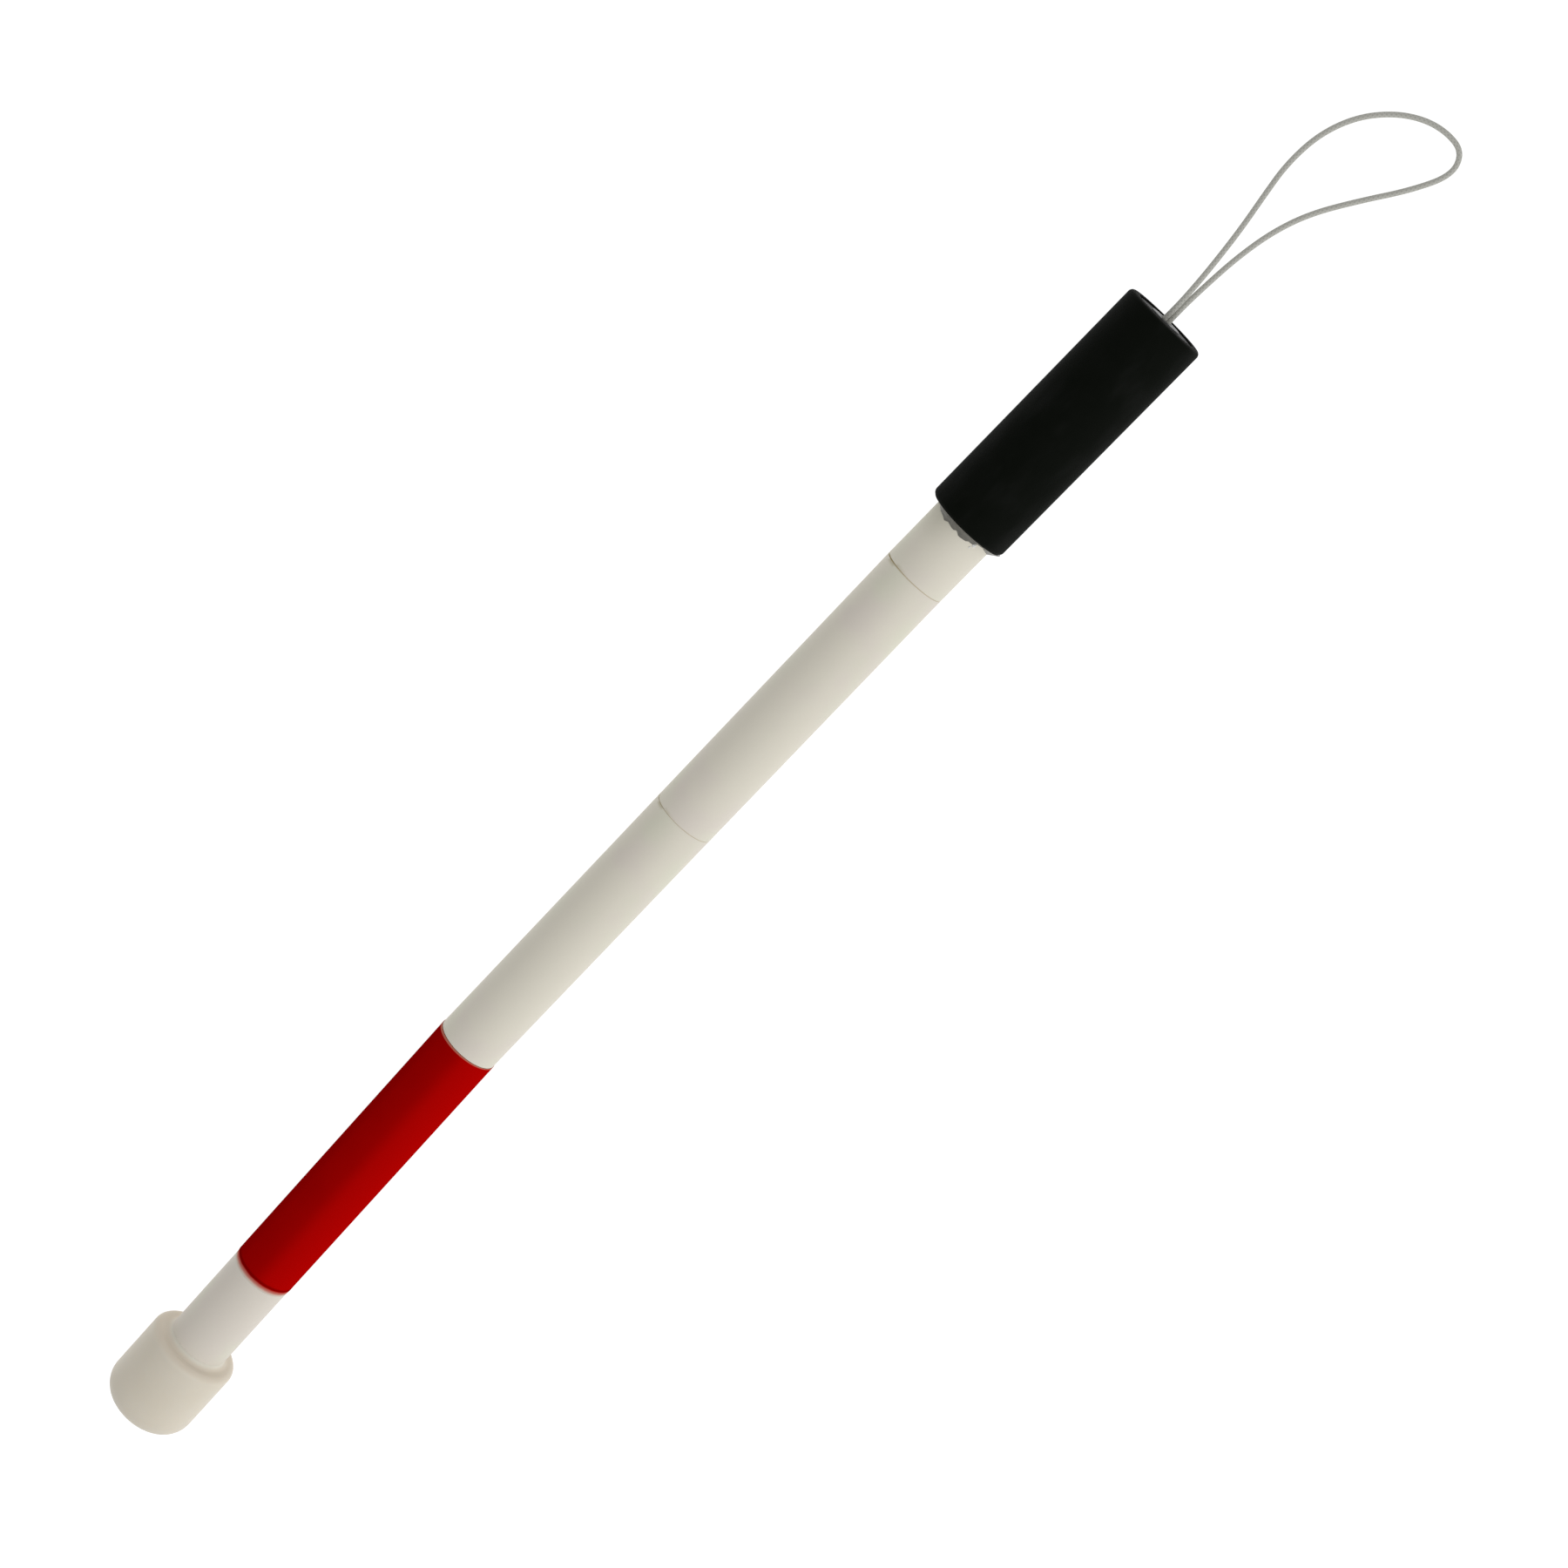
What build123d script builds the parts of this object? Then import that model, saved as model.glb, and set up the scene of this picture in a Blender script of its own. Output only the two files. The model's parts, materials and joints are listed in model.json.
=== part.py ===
"""A white cane that folds in four lengths, lying on a surface with its grip towards +X.

The cane rests on the wide tip and on the grip, so its axis slopes down a little towards the
grip. Every piece is first drawn in a straight cane. Everything that is round about the axis is
drawn in `side`, a plane that holds the axis: its x runs along the cane towards the grip and its
y is the radius. The joints are a little slack, so each length then leans from the one above it,
and `places` holds where each of the four lengths lies.
"""
from build123d import *
import math
import os

os.makedirs("parts", exist_ok=True)

# ---------------------------------------------------------------- driving dimensions, mm
tube_radius = 12.7             # a one-inch tube
bore_radius = 10.7
section_pitch = 124.5          # one middle length, seam to seam
stub_length = 26.6             # white tube that shows between the first seam and the grip
grip_length = 99.1
grip_radius = 16.6
grip_rounding = 1.8
band_length = 129.8            # red, down from the third seam
white_end_length = 43.2        # white again, down to the tip's shoulder
tip_length = 38.0
tip_radius = 19.0
tip_rounding = 9.5             # the domed edge at the bottom of the tip
shoulder_rounding = 2.4        # the rim at the top of the tip
seam_gap = 0.15                # between the end faces of two lengths, where they are closest
joint_leans = (0.7, 0.1, 1.4)  # degrees that each joint gapes on its +Y side, from the grip
grip_heading = -1.04           # degrees that the grip's length is turned from +X
middle_shift = (0.22, 5.59)    # puts the middle of the whole cane over the origin
glue_gap = 0.05                # radial, between pieces glued or pushed together
rim_break = 0.12               # small chamfer on tube ends

pivot_offset = 16.0            # from the cane's axis to each fold's turning axis
spigot_clearance = 0.1         # radial, between a spigot and the tube it enters
spigot_depth = 28.0            # how far a spigot reaches down its own tube
spigot_reach = 2.0             # how far its metal stands past the seam
nose_reach = 13.0              # how far the nylon nose stands past the seam
nose_shank = 8.0               # how far the nose reaches down inside the spigot
spigot_bore = 7.0
nose_bore = 3.0
nose_mouth = 1.4               # rounding where the cord enters the nose

cord_diameter = 2.0
strand_offset = 1.1            # each of two side-by-side strands from the axis
link_above = 14.4              # the bending stretch of elastic, up from the seam
link_below = 7.0               # and down from it
cord_gap = 0.4                 # between the ends of neighbouring stretches

sleeve_thickness = 0.2         # red film
bead_height = 2.4              # adhesive below the grip
bead_width = 2.6

tube_recess = 3.0              # tube's top end below the grip's end face
cap_face_recess = 0.6          # cap's outer face below the grip's end face
cap_plug_length = 19.0
cap_lead_in = 1.0              # bevel where the cap enters the tube
cap_pocket_radius = 5.0
cap_pocket_depth = 13.4        # below the grip's end face
crimp_radius = 4.6
crimp_length = 8.6
crimp_groove = 0.7
eyelet_flange_radius = 6.4
eyelet_barrel_length = 4.0
eyelet_bore = 2.5

tube_in_tip = 26.0             # tube hidden inside the tip
tip_bore_spare = 1.0           # space under the tube's end
plug_length = 14.0
plug_above_end = 9.0           # tube end up to the plug
plug_lead_in = 0.5             # chamfer on both rims of the plug
washer_thickness = 1.0
washer_radius = 7.0
knot_radius = 4.2
knot_length = 6.0
knot_bulge = 2.4               # from the washer down to the knot's widest point

# ---------------------------------------------------------------- stations along the cane
total_length = (tip_length + white_end_length + band_length + 2 * section_pitch
                + stub_length + grip_length)
tip_end = -total_length / 2
shoulder = tip_end + tip_length
band_low = shoulder + white_end_length
seam_c = band_low + band_length
seam_b = seam_c + section_pitch
seam_a = seam_b + section_pitch
grip_low = seam_a + stub_length
grip_end = grip_low + grip_length
half_gap = seam_gap / 2
seams = (seam_a, seam_b, seam_c)

# ---------------------------------------------------------------- how the cane lies
tip_rest = shoulder - shoulder_rounding        # the station where the tip touches
grip_rest = grip_end - grip_rounding           # the station where the grip touches
slope = math.asin((tip_radius - grip_radius) / (grip_rest - tip_rest))
axis_height = tip_radius * math.cos(slope) + tip_rest * math.sin(slope)
along = Vector(math.cos(slope), 0, -math.sin(slope))
side = Plane(origin=(0, 0, axis_height), x_dir=along, z_dir=(0, -1, 0))
cane_axis = Axis((0, 0, axis_height), along)

places = [Pos(*middle_shift, 0) * Rot(0, 0, grip_heading)]
for seam, lean in zip(seams, joint_leans):
    closed_edge = Pos(seam, -tube_radius, 0)
    places.append(places[-1] * closed_edge * Rot(0, 0, lean) * closed_edge.inverse())


def station(x):
    """The plane across the cane at x, with its own x along +Y and its own y up."""
    return Plane(origin=side.from_local_coords((x, 0, 0)), x_dir=(0, 1, 0), z_dir=along)


def save(builder, name, number):
    """Move a finished piece to its length, 1 at the grip to 4 at the tip, and write it."""
    piece = builder.part.moved(places[number - 1])
    piece.label = name
    export_step(piece, "parts/" + name + ".step")


def tube_length(name, low, high, number):
    """A length of white tube with its outer rims just broken."""
    with BuildPart() as tube:
        with BuildSketch(station(low)):
            Circle(tube_radius)
            Circle(bore_radius, mode=Mode.SUBTRACT)
        extrude(amount=high - low)
        rims = tube.edges().filter_by(GeomType.CIRCLE).filter_by(
            lambda edge: edge.radius > bore_radius + glue_gap)
        chamfer(rims, rim_break)
    save(tube, name, number)


def strands(name, low, high, number):
    """Two parallel strands of elastic between two stations."""
    with BuildPart() as cord:
        with BuildSketch(station(low)):
            with GridLocations(2 * strand_offset, 0, 2, 1):
                Circle(cord_diameter / 2)
        extrude(amount=high - low)
    save(cord, name, number)


# ---------------------------------------------------------------- grip and top length
tube_length("grip_tube", seam_a + half_gap, grip_end - tube_recess, 1)

with BuildPart() as grip_sleeve:
    with BuildSketch(station(grip_low)):
        Circle(grip_radius)
        Circle(tube_radius + glue_gap, mode=Mode.SUBTRACT)
    extrude(amount=grip_length)
    sleeve_rims = grip_sleeve.edges().filter_by(GeomType.CIRCLE).filter_by(
        lambda edge: edge.radius > grip_radius - glue_gap)
    fillet(sleeve_rims, grip_rounding)
save(grip_sleeve, "grip_sleeve", 1)

# Squeezed-out adhesive: a hollow-faced ring in the corner between tube and sleeve.
with BuildPart() as adhesive_bead:
    with BuildSketch(side):
        with BuildLine():
            corner = (grip_low, tube_radius)
            outer = (grip_low, tube_radius + bead_width)
            lower = (grip_low - bead_height, tube_radius)
            Polyline(lower, corner, outer)
            RadiusArc(outer, lower, -2 * bead_width)
        make_face()
    revolve(axis=cane_axis)
save(adhesive_bead, "adhesive_bead", 1)

# The cap closes the tube; its pocket holds the crimp, which rests on the pocket's floor.
with BuildPart() as end_cap:
    with BuildSketch(side):
        with BuildLine():
            cap_low = grip_end - tube_recess - cap_plug_length
            pocket_floor = grip_end - cap_pocket_depth
            cap_face = grip_end - cap_face_recess
            plug_radius = bore_radius - glue_gap
            tube_top = grip_end - tube_recess
            Polyline((cap_low, eyelet_bore),
                     (cap_low, plug_radius - cap_lead_in),
                     (cap_low + cap_lead_in, plug_radius),
                     (tube_top, plug_radius),
                     (tube_top, tube_radius - glue_gap),
                     (cap_face, tube_radius - glue_gap),
                     (cap_face, cap_pocket_radius),
                     (pocket_floor, cap_pocket_radius),
                     (pocket_floor, eyelet_bore),
                     close=True)
        make_face()
    revolve(axis=cane_axis)
    cap_rim = end_cap.edges().filter_by(GeomType.CIRCLE).group_by(SortBy.RADIUS)[-1]
    fillet(cap_rim.sort_by(cane_axis)[-1], cap_face_recess)
save(end_cap, "end_cap", 1)

# A flanged metal eyelet in the mouth of the cap's pocket.
with BuildPart() as cap_eyelet:
    with BuildSketch(side):
        with BuildLine():
            barrel_low = cap_face - eyelet_barrel_length
            Polyline((barrel_low, eyelet_bore),
                     (barrel_low, cap_pocket_radius - glue_gap),
                     (cap_face, cap_pocket_radius - glue_gap),
                     (cap_face, eyelet_flange_radius),
                     (cap_face + cap_face_recess, eyelet_flange_radius),
                     (cap_face + cap_face_recess, eyelet_bore),
                     close=True)
        make_face()
    revolve(axis=cane_axis)
    face_rims = cap_eyelet.edges().filter_by(GeomType.CIRCLE).group_by(cane_axis)[-1]
    fillet(face_rims, cap_face_recess / 2)
save(cap_eyelet, "cap_eyelet", 1)

# The crimp has two pressed grooves where it grips the cords.
crimp_low = grip_end - cap_pocket_depth
with BuildPart() as cord_crimp:
    with BuildSketch(side):
        with BuildLine():
            third = crimp_length / 3
            waist = crimp_radius - crimp_groove
            start = (crimp_low, crimp_radius)
            first = (crimp_low + third, crimp_radius)
            second = (crimp_low + 2 * third, crimp_radius)
            finish = (crimp_low + crimp_length, crimp_radius)
            Polyline(start, (crimp_low, 0), (crimp_low + crimp_length, 0), finish)
            ThreePointArc(finish, (crimp_low + 2.5 * third, waist), second)
            ThreePointArc(second, (crimp_low + 1.5 * third, crimp_radius + glue_gap), first)
            ThreePointArc(first, (crimp_low + 0.5 * third, waist), start)
        make_face()
    revolve(axis=cane_axis)
save(cord_crimp, "cord_crimp", 1)

strands("elastic_1", seam_a + link_above + cord_gap, crimp_low, 1)

# ---------------------------------------------------------------- wrist loop
# Distances past the grip's end, sideways and above the surface. The cord leaves the crimp,
# comes out of the eyelet, sags to the surface, goes round and comes back beside itself.
crimp_top = cap_pocket_depth - crimp_length
loop_route = [
    (-crimp_top, 1.1, 16.6),
    (3, 0.7, 17.5),
    (14, 1.1, 16.2),
    (27, 2.3, 12.7),
    (40, 4.0, 7.9),
    (52.5, 6.3, 3.3),
    (65, 8.3, 1.3),
    (79, 7.6, 1.1),
    (91.6, 2.9, 1.1),
    (101.2, -5, 1.1),
    (107.3, -14.2, 1.1),
    (109.6, -23.4, 1.1),
    (108.5, -31.6, 1.1),
    (100.8, -34.7, 1.1),
    (88, -28.4, 1.1),
    (73, -18.1, 1.1),
    (59, -9.5, 1.3),
    (46, -4.7, 3.2),
    (32, -2.2, 7.8),
    (18, -1.2, 12.9),
    (4, -0.7, 15.5),
    (-crimp_top, -1.1, 16.6),
]
loop_points = [Vector(grip_end + x, y, z) for x, y, z in loop_route]


def corner_radius(before, point, after):
    """The largest arc that the two runs at a corner leave room for."""
    coming = point - before
    going = after - point
    turn = math.radians(coming.get_angle(going))
    return 0.45 * min(coming.length, going.length) / math.tan(turn / 2)


corners = zip(loop_points, loop_points[1:], loop_points[2:])
loop_radii = [corner_radius(*corner) for corner in corners]
print("loop arc radii:", [round(radius, 1) for radius in loop_radii])

with BuildPart() as wrist_loop:
    with BuildLine() as loop_path:
        FilletPolyline(*loop_points, radius=loop_radii)
    loop_line = loop_path.wires()[0]
    with BuildSketch(Plane(origin=loop_line @ 0, z_dir=loop_line % 0)):
        Circle(cord_diameter / 2)
    sweep(path=loop_line)
save(wrist_loop, "wrist_loop", 1)
print("loop length:", round(loop_line.length, 1), "volume over section times length:",
      round(wrist_loop.part.volume / (math.pi * cord_diameter ** 2 / 4 * loop_line.length), 4))


# ---------------------------------------------------------------- joints between lengths
def nose_profile_radius(x):
    """Radius of the spigot's nose, x past the seam.

    The profile is an arc about the fold's turning axis, so the nose rocks out of the upper
    tube as the joint folds, and never binds.
    """
    arc = pivot_offset + bore_radius - spigot_clearance
    return math.sqrt(arc ** 2 - x ** 2) - pivot_offset


def nose_arc(seam, start, finish):
    """The nose's arc between two distances past the seam."""
    middle = (start + finish) / 2
    ThreePointArc((seam + start, nose_profile_radius(start)),
                  (seam + middle, nose_profile_radius(middle)),
                  (seam + finish, nose_profile_radius(finish)))


def spigot(name, seam, number):
    """A metal sleeve glued in the top of a length, standing just past the seam."""
    inside = bore_radius - glue_gap
    with BuildPart() as sleeve:
        with BuildSketch(side):
            with BuildLine():
                nose_arc(seam, 0, spigot_reach)
                Polyline((seam + spigot_reach, nose_profile_radius(spigot_reach)),
                         (seam + spigot_reach, spigot_bore),
                         (seam - spigot_depth, spigot_bore),
                         (seam - spigot_depth, inside),
                         (seam - half_gap, inside),
                         (seam - half_gap, nose_profile_radius(0)),
                         (seam, nose_profile_radius(0)))
            make_face()
        revolve(axis=cane_axis)
    save(sleeve, name, number)


def nose_cone(name, seam, number):
    """A nylon nose pushed into the spigot, with a rounded mouth for the elastic."""
    end_radius = nose_profile_radius(nose_reach)
    shank = spigot_bore - glue_gap
    with BuildPart() as cone:
        with BuildSketch(side):
            with BuildLine():
                nose_arc(seam, spigot_reach, nose_reach)
                Polyline((seam + nose_reach, end_radius),
                         (seam + nose_reach, nose_bore),
                         (seam - nose_shank + spigot_reach, nose_bore),
                         (seam - nose_shank + spigot_reach, shank),
                         (seam + spigot_reach, shank),
                         (seam + spigot_reach, nose_profile_radius(spigot_reach)))
            make_face()
        revolve(axis=cane_axis)
        mouth_rims = cone.edges().filter_by(GeomType.CIRCLE).group_by(cane_axis)[-1]
        fillet(mouth_rims, nose_mouth)
    save(cone, name, number)


tube_end = shoulder - tube_in_tip
plug_low = tube_end + plug_above_end
washer_low = plug_low - washer_thickness
above_seam = link_above + cord_gap
elastic_starts = (seam_b + above_seam, seam_c + above_seam, washer_low)

tube_length("tube_2", seam_b + half_gap, seam_a - half_gap, 2)
tube_length("tube_3", seam_c + half_gap, seam_b - half_gap, 3)
tube_length("tip_tube", tube_end, seam_c - half_gap, 4)

# The top end of each lower length, with the elastic that runs on down inside it.
for number, letter, seam, elastic_start in zip((2, 3, 4), "abc", seams, elastic_starts):
    spigot(f"spigot_{number}", seam, number)
    nose_cone(f"nose_cone_{number}", seam, number)
    strands(f"elastic_link_{letter}", seam - link_below, seam + link_above, number)
    strands(f"elastic_{number}", elastic_start, seam - link_below - cord_gap, number)

# ---------------------------------------------------------------- red film and tip
with BuildPart() as red_sleeve:
    with BuildSketch(station(band_low)):
        Circle(tube_radius + sleeve_thickness)
        Circle(tube_radius, mode=Mode.SUBTRACT)
    extrude(amount=band_length - half_gap)
save(red_sleeve, "red_sleeve", 4)

with BuildPart() as tip_plug:
    with BuildSketch(station(plug_low)):
        Circle(bore_radius - glue_gap)
        Circle(eyelet_bore, mode=Mode.SUBTRACT)
    extrude(amount=plug_length)
    plug_rims = tip_plug.edges().filter_by(GeomType.CIRCLE).group_by(SortBy.RADIUS)[-1]
    chamfer(plug_rims, plug_lead_in)
save(tip_plug, "tip_plug", 4)

with BuildPart() as tip_washer:
    with BuildSketch(station(washer_low)):
        Circle(washer_radius)
        Circle(eyelet_bore, mode=Mode.SUBTRACT)
    extrude(amount=washer_thickness)
save(tip_washer, "tip_washer", 4)

# The knot is one fat lump under the washer, flat where it bears and where it was trimmed.
with BuildPart() as tip_knot:
    with BuildSketch(side):
        with BuildLine():
            knot_low = washer_low - knot_length
            flat_radius = strand_offset + cord_diameter / 2 + cord_gap
            top = (washer_low, flat_radius)
            bottom = (knot_low, strand_offset)
            Polyline(bottom, (knot_low, 0), (washer_low, 0), top)
            ThreePointArc(top, (washer_low - knot_bulge, knot_radius), bottom)
        make_face()
    revolve(axis=cane_axis)
save(tip_knot, "tip_knot", 4)

with BuildPart() as slip_on_tip:
    with BuildSketch(station(tip_end)):
        Circle(tip_radius)
    extrude(amount=tip_length)
    fillet(slip_on_tip.edges().filter_by(GeomType.CIRCLE).sort_by(cane_axis)[0], tip_rounding)
    fillet(slip_on_tip.edges().filter_by(GeomType.CIRCLE).sort_by(cane_axis)[-1],
           shoulder_rounding)
    with BuildSketch(station(shoulder)):
        Circle(tube_radius + glue_gap)
    extrude(amount=-(tube_in_tip + tip_bore_spare), mode=Mode.SUBTRACT)
save(slip_on_tip, "slip_on_tip", 4)
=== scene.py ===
"""The looks of a white cane that folds in four lengths, lying on a pale floor.

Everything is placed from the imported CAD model. Most pieces are drawn in the coordinates of the
length that they belong to: x along its tube towards the grip, y sideways and z up, from the
middle of its tube. The lengths are numbered from 1 at the grip to 4 at the tip.
"""
import json
import math

import bpy
from mathutils import Matrix, Vector, noise


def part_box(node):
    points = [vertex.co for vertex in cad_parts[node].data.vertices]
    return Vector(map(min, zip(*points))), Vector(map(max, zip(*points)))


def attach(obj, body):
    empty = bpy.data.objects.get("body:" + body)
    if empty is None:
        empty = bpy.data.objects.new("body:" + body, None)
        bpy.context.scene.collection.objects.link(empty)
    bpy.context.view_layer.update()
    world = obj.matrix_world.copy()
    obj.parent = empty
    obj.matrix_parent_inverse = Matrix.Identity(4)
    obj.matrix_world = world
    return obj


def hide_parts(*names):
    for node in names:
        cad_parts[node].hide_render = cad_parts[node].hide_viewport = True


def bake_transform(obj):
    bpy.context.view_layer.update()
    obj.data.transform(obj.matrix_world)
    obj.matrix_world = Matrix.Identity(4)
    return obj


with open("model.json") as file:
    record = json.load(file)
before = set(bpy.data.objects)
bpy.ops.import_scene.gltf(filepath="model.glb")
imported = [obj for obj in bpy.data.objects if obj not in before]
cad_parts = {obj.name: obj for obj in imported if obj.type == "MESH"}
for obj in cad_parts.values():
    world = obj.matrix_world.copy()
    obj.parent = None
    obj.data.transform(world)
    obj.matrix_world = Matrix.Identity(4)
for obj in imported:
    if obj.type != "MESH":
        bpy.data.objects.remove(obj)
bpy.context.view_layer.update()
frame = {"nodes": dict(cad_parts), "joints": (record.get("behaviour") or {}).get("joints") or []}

# ---------------------------------------------------------------- driving sizes, metres
mm = 0.001

camera_lens = 66.96              # in millimetres, as the sensor's width is
camera_sensor = 36
camera_sees_to = 20
camera_distance = 1.065
camera_tilt = math.radians(15.6)     # the camera leans towards the grip
camera_turn = math.radians(-46.34)   # the cane runs up to the right in the picture
camera_aim = (78.19 * mm, -14.7 * mm)    # where it looks, from the middle of the cane

cord_diameter = 2 * mm
strand_offset = 1.1 * mm         # each of two side-by-side strands from the axis
braid_pitch = 1.6 * mm
braid_strands = 4                # each way round
cord_sides = 16
loop_smoothness = 14             # points for each point of its route
strand_steps = 60                # along the elastic in a length
turn_steps = 80                  # along its bend
stretch_steps = 40               # along the part of it that stretches
knot_steps = 90

film_step = 1.8 * mm             # from the red film's lower edge up to its full thickness
film_thickness = 0.2 * mm
film_bevel = 0.08 * mm           # at its top edge
film_clearance = 0.04 * mm       # that it keeps from the length above it
film_follow = 0.95               # how much of the seam's gape it fills
seam_gap = 0.15 * mm             # between two lengths, where they are closest
stain_depth = 0.12 * mm          # of the dirt in a seam, below the tube's surface
stain_clearance = 0.05 * mm      # that it keeps from the length above it
stain_follow = 0.9               # how much of the seam's gape it fills

bead_spread = 2.6 * mm           # adhesive out from the tube, under the grip
bead_lip = 0.16 * mm             # its thickness at its torn edge
bead_tear = 0.3 * mm             # how ragged that edge is
bead_least = 0.3 * mm            # down from the grip
drop_sides = 12
drop_height = 0.8                # of a drop, over its width
paint_gap = 0.01 * mm            # between a tube and what is laid on it
round_steps = 96                 # divisions round a tube

tip_rounding = 9.5 * mm          # the tip's domed edge
tip_rim = 2.8 * mm
tip_fillet = 2.4 * mm
pinhole = 0.05 * mm              # left open at the axis of the tip

turn_top = 14.8 * mm             # the elastic bends between here and turn_low, past a seam
turn_low = 13.9 * mm
stretch_low = -7.2 * mm          # and stretches from there down to here

key_light_place = (0.1, -1.1, 1.25)
key_light_aim = (0.05, 0, 0)
key_light_size = 1.2
key_light_power = 11             # watts
surrounding_light = 0.53
floor_glow = 0.95                # nearly enough to turn the floor white
floor_half_width = 12.0

# ---------------------------------------------------------------- where things are
nodes = frame["nodes"]
joints = {joint["name"]: joint for joint in frame["joints"]}
tubes = {1: "grip_tube", 2: "tube_2", 3: "tube_3", 4: "tip_tube"}
bodies = {1: "grip_section", 2: "section_2", 3: "section_3", 4: "tip_section"}


def centre(node):
    """The middle of a CAD node's box."""
    low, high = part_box(node)
    return (low + high) / 2


def average(points):
    return sum(points, Vector()) / len(points)


def frame_along(middle, along):
    """Coordinates from a point, with x along a direction, y level and z up."""
    sideways = Vector((0, 0, 1)).cross(along).normalized()
    axes = Matrix((along, sideways, along.cross(sideways))).transposed()
    return Matrix.Translation(middle) @ axes.to_4x4()


def tube_frame(tube):
    """A tube's own coordinates, from its middle, read from its two ends."""
    middle = centre(tube)
    points = [vertex.co for vertex in nodes[tube].data.vertices]
    top = average([point for point in points if point.x > middle.x])
    bottom = average([point for point in points if point.x < middle.x])
    return frame_along(middle, (top - bottom).normalized())


lengths = {number: tube_frame(tube) for number, tube in tubes.items()}


def reach(node, number):
    """The lowest and highest x of a CAD node in its length's coordinates."""
    to_length = lengths[number].inverted()
    stations = [(to_length @ vertex.co).x for vertex in nodes[node].data.vertices]
    return min(stations), max(stations)


def girth(node, number):
    """The largest radius of a CAD node about its length's axis."""
    to_length = lengths[number].inverted()
    return max((to_length @ vertex.co).yz.length for vertex in nodes[node].data.vertices)


grip_low, grip_end = reach("grip_sleeve", 1)
band_low, band_high = reach("red_sleeve", 4)
tube_radius = girth("tube_2", 2)

# ---------------------------------------------------------------- camera
# Its place is given from the axis above x = 0, with x along the middle lengths of the cane.
cane_slope = math.asin(-(lengths[2].to_3x3() @ Vector((1, 0, 0))).z)
cane_height = centre("tube_3").z + centre("tube_3").x * math.tan(cane_slope)
cane_frame = Matrix.Translation((0, 0, cane_height)) @ Matrix.Rotation(cane_slope, 4, "Y")
view_turn = Matrix.Rotation(camera_tilt, 4, "Y") @ Matrix.Rotation(camera_turn, 4, "Z")
view_shift = Vector((*camera_aim, 0)) + view_turn @ Vector((0, 0, camera_distance))
camera_data = bpy.data.cameras.new("camera")
camera_data.lens = camera_lens
camera_data.sensor_width = camera_sensor
camera_data.clip_end = camera_sees_to
camera = bpy.data.objects.new("camera", camera_data)
camera.matrix_world = cane_frame @ Matrix.Translation(view_shift) @ view_turn
bpy.context.scene.collection.objects.link(camera)
bpy.context.scene.camera = camera


# ---------------------------------------------------------------- material helpers
def shader_of(made):
    return made.node_tree.nodes["Principled BSDF"]


def material(name, colour, roughness, **sockets):
    """A new material. Its Principled shader takes a colour, a roughness and other sockets."""
    made = bpy.data.materials.new(name)
    made.use_nodes = True
    shader = shader_of(made)
    shader.inputs["Base Color"].default_value = (*colour, 1)
    shader.inputs["Roughness"].default_value = roughness
    for socket, value in sockets.items():
        shader.inputs[socket.replace("_", " ")].default_value = value
    return made


def add(made, kind, *sources, **settings):
    """A new node. Each source goes to the next input: a socket is linked, a number is set."""
    node = made.node_tree.nodes.new(kind)
    for setting, value in settings.items():
        if setting.startswith("in_"):
            node.inputs[setting[3:].replace("_", " ")].default_value = value
        else:
            setattr(node, setting, value)
    for number, source in enumerate(sources):
        if isinstance(source, bpy.types.NodeSocket):
            made.node_tree.links.new(source, node.inputs[number])
        else:
            node.inputs[number].default_value = source
    return node


def maths(made, operation, *sources):
    return add(made, "ShaderNodeMath", *sources, operation=operation).outputs[0]


def product(made, first, *others):
    """The product of sockets and numbers."""
    for other in others:
        first = maths(made, "MULTIPLY", first, other)
    return first


def fade(made, value, start, end):
    """0 before start and 1 after end, smooth between; it runs backwards if end is less."""
    low, high = min(start, end), max(start, end)
    node = add(made, "ShaderNodeMapRange", value, interpolation_type="SMOOTHSTEP",
               in_From_Min=low, in_From_Max=high)
    rising = node.outputs[0]
    return rising if end > start else maths(made, "SUBTRACT", 1.0, rising)


def place_in(made, number):
    """The shaded point in a length's coordinates, as a vector socket."""
    to_length = lengths[number].inverted()
    place = add(made, "ShaderNodeTexCoord").outputs["Object"]
    return add(made, "ShaderNodeMapping", place, to_length.translation,
               to_length.to_euler()).outputs[0]


def station_of(made, place):
    """How far the shaded point is along a length, from its middle."""
    return add(made, "ShaderNodeSeparateXYZ", place).outputs["X"]


def side_of(made, place):
    """How far the shaded point is to a length's +y side."""
    return add(made, "ShaderNodeSeparateXYZ", place).outputs["Y"]


def stretch(made, place, x, y, z):
    """The same place with each direction scaled, so that a texture is drawn out along it."""
    return add(made, "ShaderNodeVectorMath", place, (x, y, z), operation="MULTIPLY").outputs[0]


def grain(made, place, size, detail=2.0):
    """Noise from 0 to 1 whose lumps are about this size."""
    return add(made, "ShaderNodeTexNoise", place, in_Scale=1 / size, in_Detail=detail).outputs[0]


def blend_colour(made, share, first, second):
    """A colour socket from first at 0 to second at 1. Each colour is a socket or a triple."""
    node = add(made, "ShaderNodeMix", data_type="RGBA")
    made.node_tree.links.new(share, node.inputs["Factor"])
    for name, colour in (("A", first), ("B", second)):
        target = [i for i in node.inputs if i.name == name and i.type == "RGBA"][0]
        if isinstance(colour, bpy.types.NodeSocket):
            made.node_tree.links.new(colour, target)
        else:
            target.default_value = (*colour, 1)
    return [o for o in node.outputs if o.type == "RGBA"][0]


def use_colour(made, colour):
    made.node_tree.links.new(colour, shader_of(made).inputs["Base Color"])


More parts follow.
